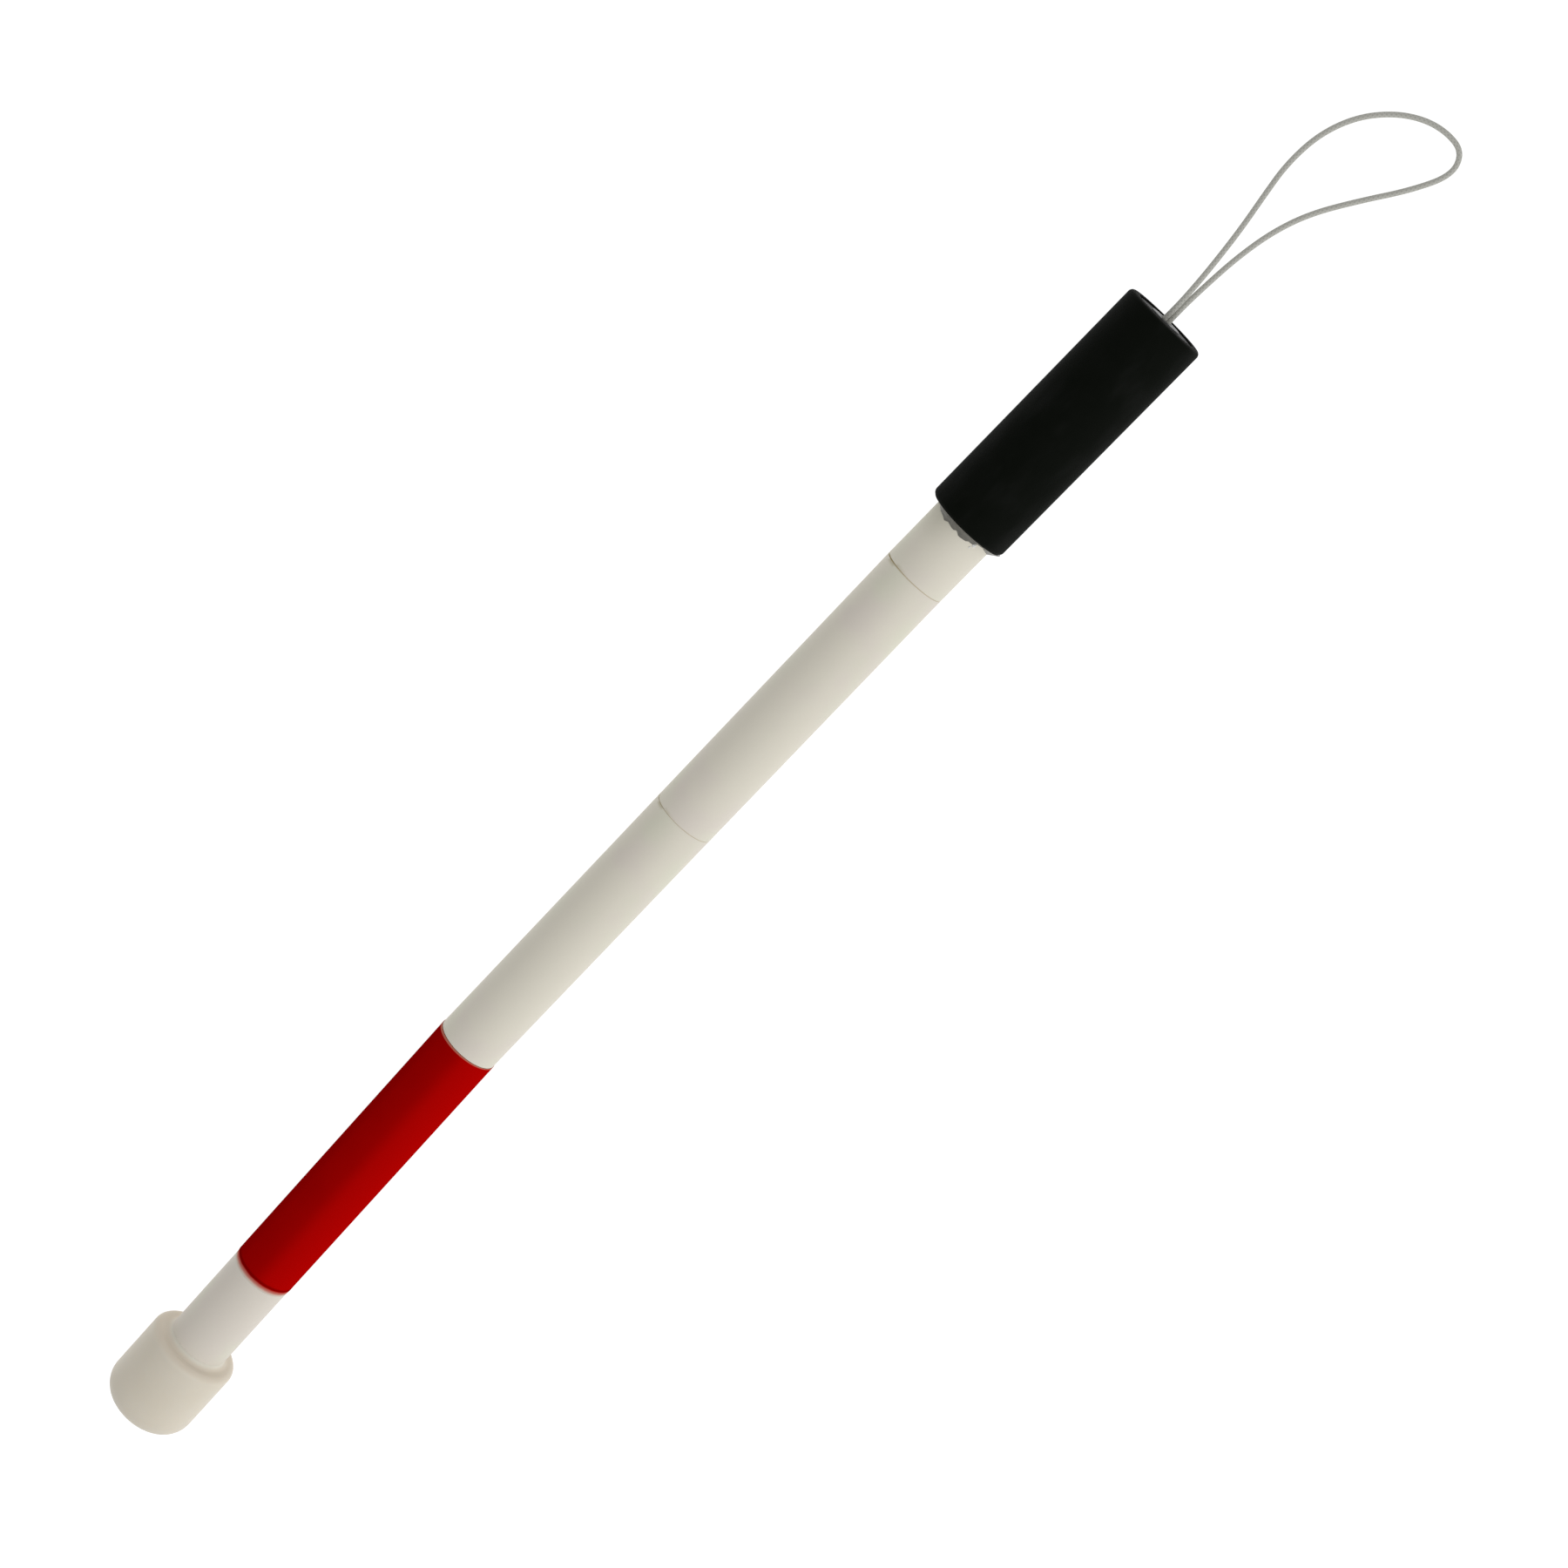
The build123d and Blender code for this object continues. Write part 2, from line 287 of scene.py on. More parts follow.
def use_roughness(made, value, low, high):
    """Roughness from low to high as value goes from 0 to 1."""
    node = add(made, "ShaderNodeMapRange", value, in_To_Min=low, in_To_Max=high)
    made.node_tree.links.new(node.outputs[0], shader_of(made).inputs["Roughness"])


def use_bump(made, *heights):
    """Raise the surface by each (height socket, metres at height 1), one on another."""
    normal = None
    for height, distance in heights:
        node = add(made, "ShaderNodeBump", in_Distance=distance, in_Strength=1.0)
        made.node_tree.links.new(height, node.inputs["Height"])
        if normal:
            made.node_tree.links.new(normal, node.inputs["Normal"])
        normal = node.outputs[0]
    made.node_tree.links.new(normal, shader_of(made).inputs["Normal"])


# ---------------------------------------------------------------- materials
ivory = (0.715, 0.68, 0.585)
ivory_pink = (0.70, 0.65, 0.58)
ivory_green = (0.69, 0.68, 0.565)
ivory_shaded = (0.5, 0.49, 0.39)
pinkness = {1: -0.15, 2: 0.0, 3: -0.05, 4: 0.35}      # how much of each length is pink
# olive dirt at the seams, also used for painted shade on their +y side
seam_grime_and_shade = (0.36, 0.31, 0.17)
varnish_dull = (0.66, 0.58, 0.43)
varnish_tan = (0.58, 0.49, 0.32)
# painted shade for the seam stain's +y side
varnish_painted_shade = (0.34, 0.27, 0.12)
film_red = (0.33, 0.0003, 0.0003)
film_dull = (0.31, 0.0003, 0.0003)
film_warm = (0.35, 0.0006, 0.0003)
# painted light and painted shade on the red film
film_painted_light = (0.41, 0.0008, 0.0005)
film_painted_shade = (0.26, 0.0003, 0.0003)
film_line = (0.16, 0, 0)
film_thin = (0.5, 0.13, 0.1)
film_rim = (0.55, 0.2, 0.14)
foam_black = (0.003, 0.0035, 0.0025)
foam_dark = (0.0016, 0.0026, 0.0013)
foam_light = (0.0042, 0.005, 0.0036)
foam_worn = (0.006, 0.0068, 0.0056)
foam_cut = (0.012, 0.0125, 0.0105)
tip_ivory = (0.71, 0.66, 0.565)
tip_tan = (0.68, 0.62, 0.51)
tip_scuffed = (0.42, 0.39, 0.33)
# painted shade on the tip's shoulder
tip_shoulder_shade = (0.56, 0.46, 0.36)
cord_grey = (0.5, 0.5, 0.46)
cord_soiled = (0.44, 0.43, 0.38)
# painted shade in the braid's hollows
cord_hollow_shade = (0.37, 0.37, 0.335)
floor_grey = (0.2, 0.2, 0.2)


def ivory_mottle(made, place, pinkness):
    """Ivory that turns a little pinker and greener in soft patches."""
    pink = fade(made, grain(made, place, 22 * mm), 0.45 - pinkness, 0.75 - pinkness)
    green = fade(made, grain(made, stretch(made, place, 1, 1.7, 1.7), 31 * mm), 0.5, 0.8)
    return blend_colour(made, green, blend_colour(made, pink, ivory, ivory_pink), ivory_green)


def white_tube(number):
    """Satin ivory tube, a little grimy where two lengths meet, with painted shade there on its +y
    side; length 1 also has painted shade near the grip on its +y side.
    """
    made = material(f"white_tube_{number}", ivory, 0.55, Specular_IOR_Level=0.12)
    place = place_in(made, number)
    high = reach(tubes[number], number)[1]
    station = station_of(made, place)
    sideways = side_of(made, place)
    colour = ivory_mottle(made, place, pinkness[number])
    if number == 1:
        shade = product(made, fade(made, station, grip_low - 16 * mm, grip_low - 2 * mm),
                        fade(made, sideways, -4 * mm, 12 * mm), 0.5)
        colour = blend_colour(made, shade, colour, ivory_shaded)
    to_end = station if number == 3 else maths(made, "ABSOLUTE", station)
    patch = fade(made, grain(made, place, 5 * mm, detail=4.0), 0.42, 0.62)
    # seam dirt, made stronger towards +y as painted shade
    grime_and_painted_shade = product(made, fade(made, to_end, high - 1.5 * mm, high - 0.2 * mm), patch,
                    fade(made, sideways, -2 * mm, 13 * mm), 0.55)
    use_colour(made, blend_colour(made, grime_and_painted_shade, colour, seam_grime_and_shade))
    scuffs = grain(made, stretch(made, place, 0.12, 1, 1), 0.8 * mm, detail=3.0)
    use_roughness(made, scuffs, 0.45, 0.6)
    peel = grain(made, place, 0.9 * mm)
    use_bump(made, (peel, 0.012 * mm), (scuffs, 0.006 * mm))
    return made


def red_film():
    """Dull red film, with painted light towards -y and painted shade at +y.

    It thins out to the ivory at its lower edge, has a dark line above that, and a pale top rim.
    """
    made = material("red_film", film_red, 0.5, Specular_IOR_Level=0.0)
    place = place_in(made, 4)
    station = station_of(made, place)
    sideways = side_of(made, place)
    red = blend_colour(made, grain(made, place, 14 * mm), film_dull, film_warm)
    # painted light towards -y and painted shade towards +y
    red = blend_colour(made, fade(made, sideways, 2 * mm, -5 * mm), red, film_painted_light)
    red = blend_colour(made, fade(made, sideways, 8 * mm, 13 * mm), red, film_painted_shade)
    rise = maths(made, "SUBTRACT", station, band_low)
    rise = maths(made, "SUBTRACT", rise, product(made, grain(made, place, 3 * mm), 0.5 * mm))
    line = product(made, fade(made, rise, 2.1 * mm, 2.7 * mm),
                   fade(made, rise, 4.0 * mm, 3.0 * mm), 0.7)
    red = blend_colour(made, line, red, film_line)
    washed = blend_colour(made, fade(made, rise, -0.6 * mm, 1.6 * mm), ivory, film_thin)
    red = blend_colour(made, fade(made, rise, 1.5 * mm, 2.4 * mm), washed, red)
    rim = product(made, fade(made, station, band_high - 0.35 * mm, band_high - 0.05 * mm), 0.7)
    use_colour(made, blend_colour(made, rim, red, film_rim))
    scuffs = grain(made, stretch(made, place, 0.12, 1, 1), 0.7 * mm, detail=3.0)
    use_roughness(made, scuffs, 0.4, 0.55)
    return made


def black_foam():
    """Closed-cell foam: a faintly pebbled skin with soft wear, lighter where it is cut."""
    made = material("black_foam", foam_black, 0.75, Specular_IOR_Level=0.04)
    place = place_in(made, 1)
    cells = add(made, "ShaderNodeTexVoronoi", place, in_Scale=1 / (0.45 * mm)).outputs[0]
    cloud = grain(made, place, 6 * mm, detail=5.0)
    wear = fade(made, grain(made, stretch(made, place, 0.4, 1, 1), 9 * mm, detail=3.0), 0.45, 0.75)
    skin = blend_colour(made, wear, blend_colour(made, cloud, foam_dark, foam_light), foam_worn)
    cut = fade(made, station_of(made, place), grip_end - 0.5 * mm, grip_end - 0.1 * mm)
    use_colour(made, blend_colour(made, cut, skin, foam_cut))
    use_roughness(made, cloud, 0.68, 0.82)
    use_bump(made, (cells, 0.05 * mm), (cloud, 0.08 * mm))
    return made


def tip_nylon():
    """Ivory nylon, scuffed near the floor end, with painted brown shade at its shoulder."""
    made = material("tip_nylon", tip_ivory, 0.5, Subsurface_Weight=0.1, Subsurface_Scale=1.5 * mm,
                    Subsurface_Radius=(1.0, 0.8, 0.55), Specular_IOR_Level=0.15)
    place = place_in(made, 4)
    low, high = reach("slip_on_tip", 4)
    station = station_of(made, place)
    colour = blend_colour(made, grain(made, place, 17 * mm, detail=3.0), tip_ivory, tip_tan)
    scratches = grain(made, stretch(made, place, 0.4, 1, 1), 2.5 * mm, detail=5.0)
    wear = product(made, fade(made, scratches, 0.55, 0.75),
                   fade(made, station, low + 7 * mm, low + 1 * mm), 0.35)
    colour = blend_colour(made, wear, colour, tip_scuffed)
    # painted brown shade on the shoulder
    shoulder = product(made, fade(made, station, high - 2.2 * mm, high - 0.3 * mm), 0.3)
    colour = blend_colour(made, shoulder, colour, tip_shoulder_shade)
    fillet = fade(made, station, high + 0.1 * mm, high + 1.8 * mm)
    use_colour(made, blend_colour(made, fillet, colour, ivory))
    use_roughness(made, grain(made, place, 4 * mm, detail=4.0), 0.38, 0.55)
    turned = add(made, "ShaderNodeTexWave", place, in_Scale=1 / (2.2 * mm), in_Distortion=0.3,
                 bands_direction="X").outputs[1]
    use_bump(made, (turned, 0.004 * mm), (grain(made, place, 1.4 * mm), 0.012 * mm))
    return made


def white_nylon():
    """Clean white nylon that light passes a little way into."""
    made = material("nylon", (0.74, 0.72, 0.66), 0.4, Subsurface_Weight=0.3,
                    Subsurface_Scale=2 * mm, Subsurface_Radius=(1.0, 0.85, 0.7))
    place = place_in(made, 2)
    use_roughness(made, grain(made, place, 2 * mm, detail=3.0), 0.34, 0.5)
    use_bump(made, (grain(made, place, 0.6 * mm), 0.008 * mm))
    return made


def drawn_metal(name, colour, roughness, line_width):
    """Metal with fine lines running round it."""
    made = material(name, colour, roughness, Metallic=1.0)
    place = place_in(made, 2)
    lines = grain(made, stretch(made, place, 1, 0.05, 0.05), line_width, detail=4.0)
    smear = grain(made, place, 3 * mm, detail=3.0)
    dark = tuple(0.75 * part for part in colour)
    use_colour(made, blend_colour(made, smear, dark, colour))
    use_roughness(made, smear, roughness - 0.06, roughness + 0.1)
    use_bump(made, (lines, 0.006 * mm))
    return made


def black_plastic():
    """Dull moulded plastic with a fine grain."""
    made = material("black_plastic", (0.02, 0.02, 0.02), 0.5, Specular_IOR_Level=0.1)
    place = place_in(made, 1)
    cloud = grain(made, place, 5 * mm, detail=4.0)
    use_colour(made, blend_colour(made, cloud, (0.010, 0.010, 0.0105), (0.018, 0.018, 0.0185)))
    use_roughness(made, cloud, 0.42, 0.6)
    use_bump(made, (grain(made, place, 0.25 * mm), 0.012 * mm))
    return made


def adhesive(name, dark, light, roughness):
    """Cloudy hardened adhesive, lumpy and glossy."""
    made = material(name, light, roughness, Transmission_Weight=0.3, IOR=1.46)
    place = place_in(made, 1)
    cloud = grain(made, place, 1.2 * mm, detail=4.0)
    use_colour(made, blend_colour(made, cloud, dark, light))
    use_roughness(made, cloud, roughness - 0.08, roughness + 0.15)
    use_bump(made, (grain(made, place, 0.7 * mm, detail=3.0), 0.1 * mm))
    return made


def braided_cord():
    """A fine round braid. It reads UVs: metres along the cord, and turns from 0 to 1."""
    made = material("braided_cord", cord_grey, 0.75, Sheen_Weight=0.1)
    flat = add(made, "ShaderNodeTexCoord").outputs["UV"]
    parts = add(made, "ShaderNodeSeparateXYZ", flat)
    length = maths(made, "MULTIPLY", parts.outputs[0], 2 * math.pi / braid_pitch)
    turn = maths(made, "MULTIPLY", parts.outputs[1], 2 * math.pi * braid_strands)
    left = maths(made, "SINE", maths(made, "ADD", length, turn))
    right = maths(made, "SINE", maths(made, "SUBTRACT", length, turn))
    plait = maths(made, "MULTIPLY_ADD", maths(made, "MAXIMUM", left, right), 0.5, 0.5)
    soiled = fade(made, grain(made, flat, 9 * mm, detail=3.0), 0.4, 0.7)
    light = blend_colour(made, soiled, cord_grey, cord_soiled)
    # painted shade in the hollows between the braid's strands
    use_colour(made, blend_colour(made, plait, cord_hollow_shade, light))
    use_roughness(made, plait, 0.85, 0.65)
    use_bump(made, (plait, 0.05 * mm))
    return made


def stained_varnish():
    """Tan dirt on a tube's end, with painted shade on its +y side."""
    made = material("stained_varnish", (0.5, 0.42, 0.27), 0.8, Specular_IOR_Level=0.1)
    place = place_in(made, 2)
    patch = grain(made, place, 4 * mm, detail=4.0)
    light = blend_colour(made, patch, varnish_dull, varnish_tan)
    # painted shade towards +y, where the seam opens wider
    dark = fade(made, side_of(made, place), 2 * mm, 12 * mm)
    use_colour(made, blend_colour(made, dark, light, varnish_painted_shade))
    use_roughness(made, patch, 0.7, 0.9)
    return made


paints = {
    "red_film": red_film(),
    "black_foam": black_foam(),
    "tip_nylon": tip_nylon(),
    "nylon": white_nylon(),
    "spigot_metal": drawn_metal("spigot_metal", (0.62, 0.62, 0.63), 0.3, 0.12 * mm),
    "eyelet_metal": drawn_metal("eyelet_metal", (0.09, 0.09, 0.09), 0.4, 0.1 * mm),
    "crimp_metal": drawn_metal("crimp_metal", (0.55, 0.55, 0.56), 0.35, 0.3 * mm),
    "washer_steel": drawn_metal("washer_steel", (0.5, 0.5, 0.51), 0.3, 0.2 * mm),
    "black_plastic": black_plastic(),
    # dark grey: the glue's own tint, partly painted shade under the grip
    "adhesive": adhesive("adhesive", (0.125, 0.12, 0.105), (0.28, 0.27, 0.235), 0.3),
    "clear_adhesive": adhesive("clear_adhesive", (0.88, 0.88, 0.86), (0.95, 0.95, 0.93), 0.12),
    "cord": braided_cord(),
    "stain": stained_varnish(),
}


def dress(node, paint):
    """Give a CAD node its finished material."""
    slots = nodes[node].data.materials
    slots.clear()
    slots.append(paints[paint])
    nodes[node].data.polygons.foreach_set("material_index",
                                          [0] * len(nodes[node].data.polygons))


for number, tube in tubes.items():
    paints[tube] = white_tube(number)
    dress(tube, tube)
for number in (2, 3, 4):
    dress(f"spigot_{number}", "spigot_metal")
    dress(f"nose_cone_{number}", "nylon")
dress("grip_sleeve", "black_foam")
dress("end_cap", "black_plastic")
dress("cap_eyelet", "eyelet_metal")
dress("cord_crimp", "crimp_metal")
dress("tip_plug", "nylon")
dress("tip_washer", "washer_steel")

# ---------------------------------------------------------------- wrist loop
# Distances past the grip's end, sideways and above the floor, as in the CAD source.
loop_route_mm = [
    (-4.8, 1.1, 16.6),
    (3, 0.7, 17.5),
    (14, 1.1, 16.2),
    (27, 2.3, 12.7),
    (40, 4.0, 7.9),
    (52.5, 6.3, 3.3),
    (65, 8.3, 1.3),
    (79, 7.6, 1.1),
    (91.6, 2.9, 1.1),
    (101.2, -5, 1.1),
    (107.3, -14.2, 1.1),
    (109.6, -23.4, 1.1),
    (108.5, -31.6, 1.1),
    (100.8, -34.7, 1.1),
    (88, -28.4, 1.1),
    (73, -18.1, 1.1),
    (59, -9.5, 1.3),
    (46, -4.7, 3.2),
    (32, -2.2, 7.8),
    (18, -1.2, 12.9),
    (4, -0.7, 15.5),
    (-4.8, -1.1, 16.6),
]
grip_mouth = lengths[1] @ Vector((grip_end, 0, 0))
grip_heading = lengths[1].to_3x3() @ Vector((1, 0, 0))
on_floor = Vector((1, 1, 0))
loop_frame = frame_along(grip_mouth * on_floor, (grip_heading * on_floor).normalized())


def spline_points(points, smoothness):
    """Points along a smooth line from the first point to the last, near the ones between."""
    data = bpy.data.curves.new("spline", "CURVE")
    data.dimensions = "3D"
    data.resolution_u = smoothness
    spline = data.splines.new("NURBS")
    spline.points.add(len(points) - 1)
    for target, point in zip(spline.points, points):
        target.co = (*point, 1)
    spline.order_u = 3
    spline.use_endpoint_u = True
    line = bpy.data.objects.new("spline", data)
    mesh = bpy.data.meshes.new_from_object(line)
    found = [vertex.co.copy() for vertex in mesh.vertices]
    bpy.data.objects.remove(line)
    return found


def ring_piece(name, parts, paint, closed=False):
    """A mesh of tubes. Each part is a list of rings; closed joins its last ring to its first.

    Its UVs are metres along the middles of the rings, and turns round them. A tube that isn't
    closed gets a flat face at each end.
    """
    verts, faces, flats = [], [], []
    for rings in parts:
        first, sides = len(verts), len(rings[0])
        middles = [average(ring) for ring in rings]
        travelled = [0.0]
        for here, there in zip(middles, middles[1:] + middles[:1]):
            travelled.append(travelled[-1] + (there - here).length)
        for ring in rings:
            verts.extend(ring)
        for row in range(len(rings) if closed else len(rings) - 1):
            below, above = first + row * sides, first + (row + 1) % len(rings) * sides
            for side in range(sides):
                after = (side + 1) % sides
                faces.append((below + side, above + side, above + after, below + after))
                low, high = travelled[row], travelled[row + 1]
                left, right = side / sides, (side + 1) / sides
                flats.extend([(low, left), (high, left), (high, right), (low, right)])
        if not closed:
            for start, along in ((first, 0.0), (len(verts) - sides, travelled[len(rings) - 1])):
                cap = list(range(start, start + sides))
                faces.append(cap if start == first else cap[::-1])
                flats.extend([(along, side / sides) for side in range(sides)])
    data = bpy.data.meshes.new(name)
    data.from_pydata([tuple(vert) for vert in verts], [], faces)
    layer = data.uv_layers.new(name="along_and_round")
    for loop, flat in zip(layer.data, flats):
        loop.uv = flat
    data.polygons.foreach_set("use_smooth", [True] * len(data.polygons))
    data.materials.append(paints[paint])
    piece = bpy.data.objects.new(name, data)
    bpy.context.scene.collection.objects.link(piece)
    return piece


def cord_rings(points, radius):
    """Rings round a line of points, each turned as little as it can be from the one before."""
    rings = []
    across = None
    for number, point in enumerate(points):
        before, after = points[max(number - 1, 0)], points[min(number + 1, len(points) - 1)]
        heading = (after - before).normalized()
        if across is None:
            across = heading.orthogonal().normalized()
        across = (across - heading * across.dot(heading)).normalized()
        other = heading.cross(across)
        turns = [2 * math.pi * side / cord_sides for side in range(cord_sides)]
        rings.append([point + radius * (math.cos(turn) * across + math.sin(turn) * other)
                      for turn in turns])
    return rings


loop_points = [loop_frame @ (Vector(point) * mm) for point in loop_route_mm]
loop_line = spline_points(loop_points, loop_smoothness)
wrist_cord = ring_piece("wrist_cord", [cord_rings(loop_line, cord_diameter / 2)], "cord")
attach(wrist_cord, "grip_section")
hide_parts("wrist_loop")


# ---------------------------------------------------------------- inner elastic
def fold_shape(share, seam_distance, pivot_distance):
    """How far a strand sways towards the fold's axis, and how much it widens that way.

    Folding turns each ring by its part of the angle, and squeezes it where the elastic then
    runs aslant. This shape makes the folded elastic leave both lengths straight and round.
    """
    turned = share * share * (3 - 2 * share)
    sway = seam_distance / 2 * math.sin(2 * math.pi * turned)
    aslant = seam_distance * (1 - math.cos(2 * math.pi * turned))
    return sway, math.hypot(pivot_distance - sway, aslant) / (pivot_distance - sway)


def strand_rings(number, side, stations, pivot=None, seam=0.0):
    """Rings of one strand of a length's elastic, in planes across the tube.

    Given the point that a fold turns about, and the seam, both in the length's coordinates,
    they are the rings of its bend.
    """
    across = Vector((0, 1, 1))
    to_pivot = pivot * across if pivot else across
    towards = to_pivot.normalized()
    sway, widening = 0.0, 1.0
    rings = []
    for share, station in stations:
        if pivot:
            sway, widening = fold_shape(share, station - seam, to_pivot.length)
        middle = Vector((station, side * strand_offset, 0)) + towards * sway
        ring = []
        for step in range(cord_sides):
            turn = 2 * math.pi * step / cord_sides
            spoke = Vector((0, math.cos(turn), math.sin(turn))) * cord_diameter / 2
            spoke += towards * spoke.dot(towards) * (widening - 1)
            ring.append(lengths[number] @ (middle + spoke))
        rings.append(ring)
    return rings


def spaced(start, end, steps):
    """Pairs of the share of the way and the place, from start to end."""
    return [(step / steps, start + (end - start) * step / steps) for step in range(steps + 1)]


def strand_pair(name, number, start, end, steps, **bend):
    """The two strands of a length's elastic from one station to another, as one piece."""
    parts = [strand_rings(number, side, spaced(start, end, steps), **bend) for side in (-1, 1)]
    piece = ring_piece(name, parts, "cord")
    return piece


for number, body in bodies.items():
    low, high = reach(f"elastic_{number}", number)
    strands = strand_pair(f"elastic_strands_{number}", number, low, high, strand_steps)
    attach(strands, body)
    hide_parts(f"elastic_{number}")

for letter, number in zip("abc", (2, 3, 4)):
    seam = reach(tubes[number], number)[1]
    fold = joints["fold_" + letter]
    pivot = lengths[number].inverted() @ Vector(fold["pos_m"])
    turn = strand_pair("elastic_turn_" + letter, number, seam + turn_top, seam + turn_low,
                       turn_steps, pivot=pivot, seam=seam)
    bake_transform(turn)
    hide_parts("elastic_link_" + letter)
    stretch_part = strand_pair("elastic_stretch_" + letter, number, seam + turn_low,
                               seam + stretch_low, stretch_steps)
    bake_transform(stretch_part)
    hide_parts("elastic_link_" + letter)


# ---------------------------------------------------------------- knot under the tip's washer
def knot_line(low, high, wide):
    """A knotted strand between two stations of the tip length, this far out from its axis."""
    middle, half = (low + high) / 2, (high - low) / 2
    points = []
    for step in range(knot_steps):
        turn = 2 * math.pi * (step + 0.5) / knot_steps
        station = middle - half * math.sin(3 * turn)
        y = wide * (math.sin(turn) + 2 * math.sin(2 * turn)) / 3
        z = wide * (math.cos(turn) - 2 * math.cos(2 * turn)) / 3
        points.append(lengths[4] @ Vector((station, y, z)))
    return points


knot_low, knot_high = reach("tip_knot", 4)
knot_wide = girth("tip_knot", 4) - cord_diameter / 2
knot_points = knot_line(knot_low + cord_diameter / 2, knot_high - cord_diameter / 2, knot_wide)
knot = ring_piece("elastic_knot", [cord_rings(knot_points, cord_diameter / 2)], "cord")
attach(knot, "tip_section")
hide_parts("tip_knot")


# ---------------------------------------------------------------- pieces laid round the tube
def round_place(number, station, radius, turn):
    """The point at a station, radius and turn. A turn goes from +y over the top to -y."""
    return lengths[number] @ Vector((station, radius * math.cos(turn), radius * math.sin(turn)))


def lathe_piece(name, number, profile, paint):
    """A ring round a length. profile(turn) gives its section as (station, radius) pairs."""
    rings = []
    for step in range(round_steps):
        turn = 2 * math.pi * step / round_steps
        rings.append([round_place(number, station, radius, turn)
                      for station, radius in profile(turn)])
    return ring_piece(name, [rings], paint, closed=True)


def gape(upper, turn):
    """How much wider the seam below a length is at a turn than at the -y side, where it shuts."""
    along = [lengths[number].to_3x3() @ Vector((1, 0, 0)) for number in (upper, upper + 1)]
    return tube_radius * (1 + math.cos(turn)) * math.tan(along[0].angle(along[1]))


def film_section(turn):
    """The red film: thin at its lower edge, and up to the next length at its top."""
    top = band_high + seam_gap - film_clearance + film_follow * gape(3, turn)
    inside = tube_radius + paint_gap
    outside = tube_radius + film_thickness
    rise = [(band_low + film_step * share, inside + (film_thickness - paint_gap) * share ** 2)
            for share in (0.1, 0.3, 0.5, 0.7, 0.85, 1.0)]
    run = [(station, outside) for _, station in spaced(band_low + 2 * film_step,
                                                       band_high - 1 * mm, 12)]
    bevel = [(top - film_bevel, outside), (top, outside - film_bevel)]
    return [(band_low, inside)] + rise + run + bevel + [(top, inside)]


film = lathe_piece("red_film_band", 4, film_section, "red_film")
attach(film, "tip_section")
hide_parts("red_sleeve")


def arc(station, radius, size, start, end, steps):
    """Part of a circle of this size in a section, from one angle to another.

    An angle is in degrees, from up the cane towards outwards.
    """
    angles = [start + (end - start) * step / steps for step in range(steps + 1)]
    return [(station + size * math.cos(math.radians(angle)),
             radius + size * math.sin(math.radians(angle))) for angle in angles]


def tip_section(turn):
    """The slip-on tip: a dome below, a soft rim, and a fillet that runs out on the tube."""
    low, high = tip_ends
    dome = arc(low + tip_rounding, tip_radius - tip_rounding, tip_rounding, 180, 90, 16)
    side = [(station, tip_radius) for _, station in spaced(low + tip_rounding + 1 * mm,
                                                           high - tip_rim - 1 * mm, 8)]
    rim = arc(high - tip_rim, tip_radius - tip_rim, tip_rim, 90, 0, 10)
    fillet = arc(high + tip_fillet, tube_radius - 2 * paint_gap + tip_fillet, tip_fillet,
                 180, 270, 12)
    bore = tube_radius + paint_gap
    under = [(low, pinhole), (low, 0.5 * (tip_radius - tip_rounding))]
    inside = [(high - 1 * mm, bore), (tip_floor, bore), (tip_floor, pinhole)]
    return under + dome + side + rim + fillet + inside


tip_ends = reach("slip_on_tip", 4)
tip_radius = girth("slip_on_tip", 4)
tip_floor = reach("tip_tube", 4)[0] - 1 * mm          # of the hole that the tube goes in
tip = lathe_piece("domed_tip", 4, tip_section, "tip_nylon")
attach(tip, "tip_section")
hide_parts("slip_on_tip")


def stain_section(upper):
    """Old varnish and dirt on a tube's end, nearly up to the tube above it."""
    low = reach(tubes[upper + 1], upper + 1)[1] + paint_gap
    outside = tube_radius - stain_depth
    inside = outside - 1 * mm

    def section(turn):
        high = low + seam_gap - stain_clearance + stain_follow * gape(upper, turn)
        return [(low, inside), (low, outside), (high, outside), (high, inside)]

    return section


for upper in (1, 2):
    stain = lathe_piece(f"seam_stain_{upper}", upper + 1, stain_section(upper), "stain")
    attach(stain, bodies[upper + 1])

# Degrees from +y over the top to -y, and how far down from the grip the adhesive reaches, mm.
bead_edge = [(0, 0.3), (20, 0.4), (29, 0.8), (40, 1.8), (52, 2.2), (60, 3.0), (68, 2.0),
             (80, 3.0), (87, 2.0), (95, 3.1), (104, 2.9), (112, 2.2), (121, 1.9), (129, 1.0),
             (140, 0.9), (150, 1.4), (165, 2.2), (185, 2.6), (215, 1.2), (260, 1.9), (310, 1.0),
             (360, 0.3)]


def bead_reach(turn):
    """How far down the adhesive reaches at a turn, with a torn edge."""
    degrees = math.degrees(turn) % 360
    for (before, low), (after, high) in zip(bead_edge, bead_edge[1:]):
        if before <= degrees <= after:
            smooth = low + (high - low) * (degrees - before) / (after - before)
    round_tube = Vector((math.cos(turn), math.sin(turn), 0.3))
    torn = noise.fractal(round_tube * 7, 0.8, 2.2, 4)   # lumps a seventh of the tube's radius
    return max(smooth * mm + bead_tear * torn, bead_least)


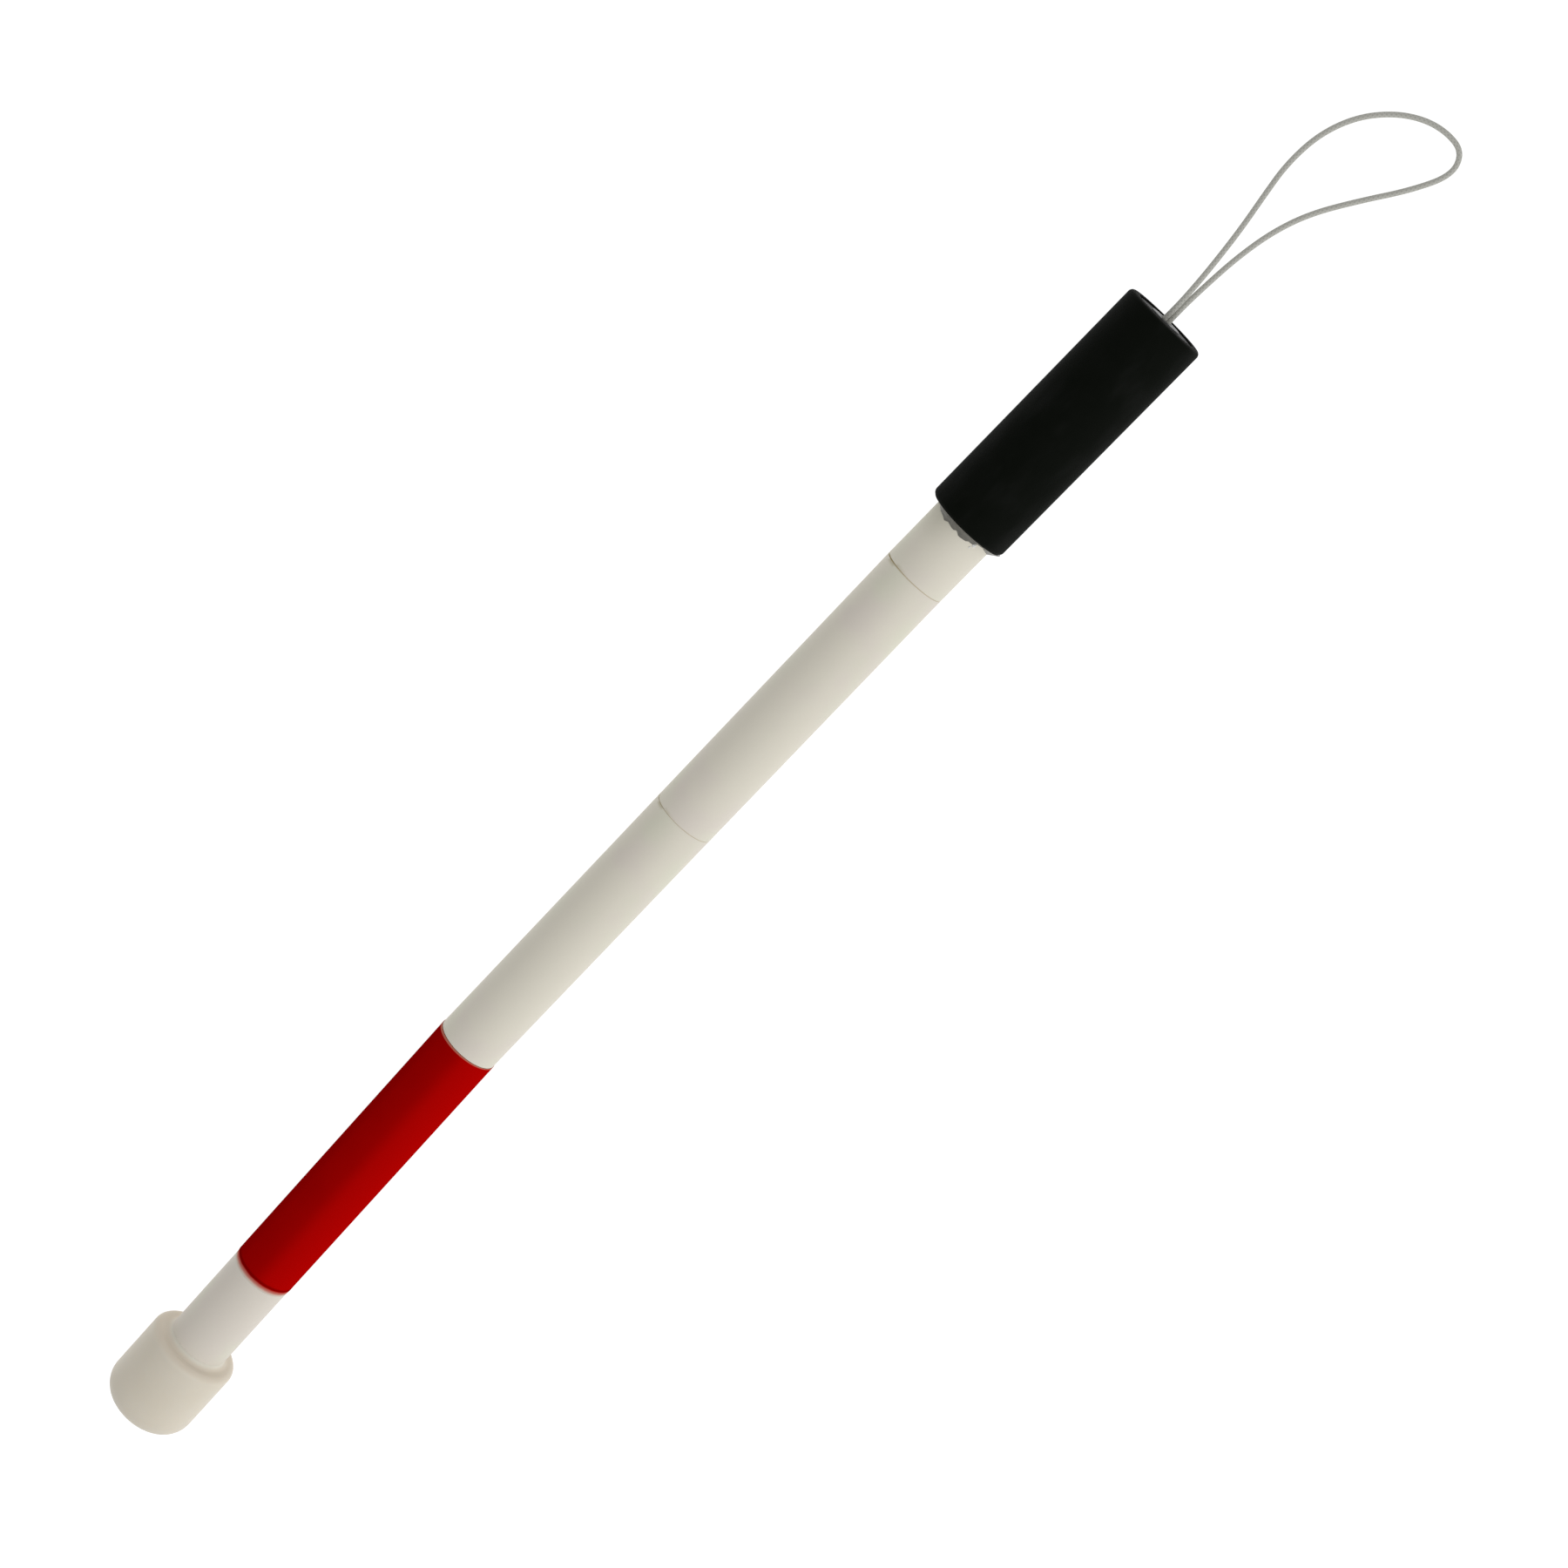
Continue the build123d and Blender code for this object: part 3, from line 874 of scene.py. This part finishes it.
def bead_section(turn):
    """Thin film torn off below, and thick in the corner under the grip, most of all at -y."""
    down = bead_reach(turn)
    inside = tube_radius + paint_gap
    fullness = max(0.0, -math.cos(turn)) ** 6          # 1 at -y, and soon 0 away from it
    out = bead_spread * (1 + 0.35 * fullness)
    hollow = 2.4 - 1.6 * fullness                      # the face is straight at 1
    face = [(grip_low - down * (1 - share), inside + bead_lip + out * share ** hollow)
            for share in (0, 0.15, 0.3, 0.5, 0.7, 0.85, 1)]
    top = grip_low + 2 * paint_gap
    return [(grip_low - down, inside)] + face + [(top, inside + bead_lip + out), (top, inside)]


bead = lathe_piece("adhesive_ring", 1, bead_section, "adhesive")
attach(bead, "grip_section")
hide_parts("adhesive_bead")


def drop(name, degrees, down, radius, length):
    """A smooth drop of adhesive on the tube, drawn out down the cane."""
    turn = math.radians(degrees)
    outward = lengths[1].to_3x3() @ Vector((0, math.cos(turn), math.sin(turn)))
    beside = outward.cross(grip_heading)
    spokes = [2 * math.pi * side / drop_sides for side in range(drop_sides)]
    rings = []
    for share, station in spaced(grip_low - down + length / 2, grip_low - down - length / 2, 10):
        wide = radius * math.sin(math.pi * (0.02 + 0.96 * share)) ** 0.6
        middle = round_place(1, station, tube_radius, turn)
        rings.append([middle + wide * (math.cos(spoke) * beside
                                       + drop_height * math.sin(spoke) * outward)
                      for spoke in spokes])
    piece = ring_piece(name, [rings], "clear_adhesive")
    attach(piece, "grip_section")


drop("adhesive_drop_1", 125, 2.0 * mm, 0.8 * mm, 1.6 * mm)
drop("adhesive_drop_2", 121, 3.5 * mm, 0.4 * mm, 0.9 * mm)

# ---------------------------------------------------------------- floor and light
floor_data = bpy.data.meshes.new("floor")
corners = [(x * floor_half_width, y * floor_half_width, 0)
           for x, y in ((-1, -1), (1, -1), (1, 1), (-1, 1))]
floor_data.from_pydata(corners, [], [(0, 1, 2, 3)])
floor = bpy.data.objects.new("floor", floor_data)
bpy.context.scene.collection.objects.link(floor)
floor_paint = material("pale_floor", floor_grey, 0.9, Specular_IOR_Level=0.0,
                       Emission_Color=(1, 1, 1, 1), Emission_Strength=floor_glow)
floor_data.materials.append(floor_paint)


def soft_light(name, place, aim, size, power):
    """A square soft box at place, turned to aim."""
    data = bpy.data.lights.new(name, "AREA")
    data.size = size
    data.energy = power
    light = bpy.data.objects.new(name, data)
    light.location = place
    light.rotation_euler = (Vector(aim) - Vector(place)).to_track_quat("-Z", "Y").to_euler()
    bpy.context.scene.collection.objects.link(light)


soft_light("key", key_light_place, key_light_aim, key_light_size, key_light_power)
world = bpy.data.worlds.new("studio")
world.use_nodes = True
background = world.node_tree.nodes["Background"]
background.inputs["Color"].default_value = (1, 1, 1, 1)
background.inputs["Strength"].default_value = surrounding_light
bpy.context.scene.world = world
bpy.context.scene.view_settings.view_transform = "Standard"
